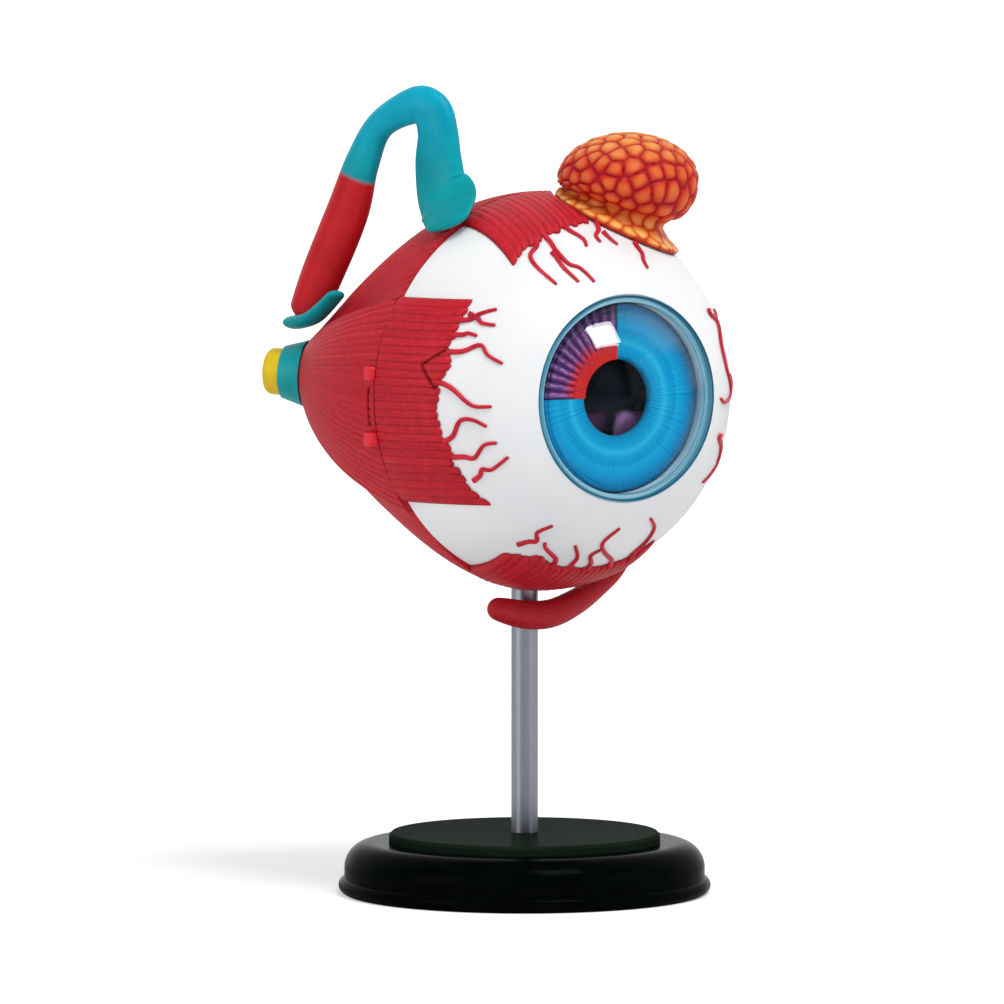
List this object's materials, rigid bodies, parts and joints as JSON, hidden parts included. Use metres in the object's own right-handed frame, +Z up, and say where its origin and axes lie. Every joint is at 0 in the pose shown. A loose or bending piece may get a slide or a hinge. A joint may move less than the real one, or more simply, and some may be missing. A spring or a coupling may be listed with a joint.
{
  "type": "eye anatomy model",
  "caption": "Take-apart model of a left human eye with ribbed muscles, lacrimal gland, clear cornea and nested inner coats, held by a thin rod over a round black base.",
  "frame": {"origin": "centre of the base's underside, under the rod, on the floor face", "axes": "+Z up along the rod; the eye looks along -Y; -X is its nasal side and +X its temporal side"},
  "size_m": [0.076, 0.0806, 0.1518],
  "materials": {
    "black_gloss": "glossy black moulding",
    "dark_disc": "satin dark green-grey",
    "satin_metal": "satin",
    "sclera_white": "satin white",
    "choroid_red": "painted",
    "retina_orange": "painted",
    "clear_vitreous": "clear moulded plastic",
    "clear_lens": "smoky clear plastic",
    "ciliary_brown": "painted",
    "iris_blue": "painted blue with radial streaks",
    "iris_fibres": "painted red and purple",
    "clear_cornea": "clear polished plastic",
    "nerve_yellow": "painted",
    "tendon_teal": "satin paint",
    "muscle_red": "satin paint",
    "gland_orange": "orange lobes in dark red grooves",
    "vessel_red": "painted"
  },
  "bodies": {
    "base": {"stand_base": "black_gloss", "stand_disc": "dark_disc"},
    "rod": {"stand_rod": "satin_metal"},
    "globe": {"sclera_rear": "sclera_white", "choroid_rear": "choroid_red", "inferior_rectus": "muscle_red"},
    "front": {"sclera_front": "sclera_white", "choroid_front": "choroid_red", "ciliary_body": "ciliary_brown", "medial_rectus_insertion": "muscle_red", "lateral_rectus_insertion": "muscle_red", "superior_rectus_insertion": "muscle_red", "inferior_rectus_insertion": "muscle_red", "conjunctival_vessels": "vessel_red"},
    "lens": {"lens": "clear_lens"},
    "vitreous": {"vitreous_body": "clear_vitreous"},
    "retina": {"retina": "retina_orange"},
    "cornea": {"cornea": "clear_cornea"},
    "iris": {"iris": "iris_blue", "iris_muscles": "iris_fibres"},
    "gland": {"lacrimal_gland": "gland_orange"},
    "superior_oblique": {"superior_oblique": "muscle_red", "superior_oblique_tendon": "tendon_teal", "superior_oblique_origin": "tendon_teal"},
    "superior_rectus": {"superior_rectus": "muscle_red"},
    "nerve": {"optic_nerve": "nerve_yellow", "tendinous_ring": "tendon_teal"},
    "medial_rectus": {"medial_rectus": "muscle_red"},
    "lateral_rectus": {"lateral_rectus": "muscle_red"},
    "inferior_oblique": {"inferior_oblique": "muscle_red"}
  },
  "joints": [
    {"name": "rod_turn", "type": "hinge", "parent": "base", "child": "rod", "pos_m": [0, 0, 0.006], "axis": [0, 0, 1], "continuous": true},
    {"name": "globe_lift", "type": "slide", "parent": "rod", "child": "globe", "axis": [0, 0, 1], "range_m": [0, 0.015]},
    {"name": "front_pull", "type": "slide", "parent": "globe", "child": "front", "axis": [0, -1, 0], "range_m": [0, 0.06]},
    {"name": "lens_pull", "type": "slide", "parent": "globe", "child": "lens", "axis": [0, -1, 0], "range_m": [0, 0.0432]},
    {"name": "vitreous_pull", "type": "slide", "parent": "globe", "child": "vitreous", "axis": [0, -1, 0], "range_m": [0, 0.024]},
    {"name": "retina_pull", "type": "slide", "parent": "globe", "child": "retina", "axis": [0, -1, 0], "range_m": [0, 0.009]},
    {"name": "cornea_pull", "type": "slide", "parent": "front", "child": "cornea", "axis": [0, -1, 0], "range_m": [0, 0.02]},
    {"name": "iris_pull", "type": "slide", "parent": "front", "child": "iris", "axis": [0, -1, 0], "range_m": [0, 0.01]},
    {"name": "gland_lift", "type": "slide", "parent": "front", "child": "gland", "axis": [0.3299, -0.2699, 0.9046], "range_m": [0, 0.015]},
    {"name": "oblique_lift", "type": "slide", "parent": "globe", "child": "superior_oblique", "axis": [0, 0, 1], "range_m": [0, 0.03]},
    {"name": "superior_rectus_lift", "type": "slide", "parent": "globe", "child": "superior_rectus", "axis": [0, 0, 1], "range_m": [0, 0.012]},
    {"name": "nerve_pull", "type": "slide", "parent": "globe", "child": "nerve", "axis": [-0.6682, 0.7421, 0.0523], "range_m": [0, 0.024]},
    {"name": "medial_rectus_pull", "type": "slide", "parent": "globe", "child": "medial_rectus", "axis": [-1, 0, 0], "range_m": [0, 0.0192]},
    {"name": "lateral_rectus_pull", "type": "slide", "parent": "globe", "child": "lateral_rectus", "axis": [0.342, 0.9397, 0], "range_m": [0, 0.0192]},
    {"name": "inferior_oblique_pull", "type": "slide", "parent": "globe", "child": "inferior_oblique", "axis": [1, 0, 0], "range_m": [0, 0.02]}
  ],
  "couplings": [
    {"joint": "lens_pull", "follows": "front_pull", "ratio": 0.72},
    {"joint": "vitreous_pull", "follows": "front_pull", "ratio": 0.4},
    {"joint": "retina_pull", "follows": "front_pull", "ratio": 0.15},
    {"joint": "iris_pull", "follows": "cornea_pull", "ratio": 0.5},
    {"joint": "superior_rectus_lift", "follows": "oblique_lift", "ratio": 0.4},
    {"joint": "medial_rectus_pull", "follows": "nerve_pull", "ratio": 0.8},
    {"joint": "lateral_rectus_pull", "follows": "nerve_pull", "ratio": 0.8}
  ]
}
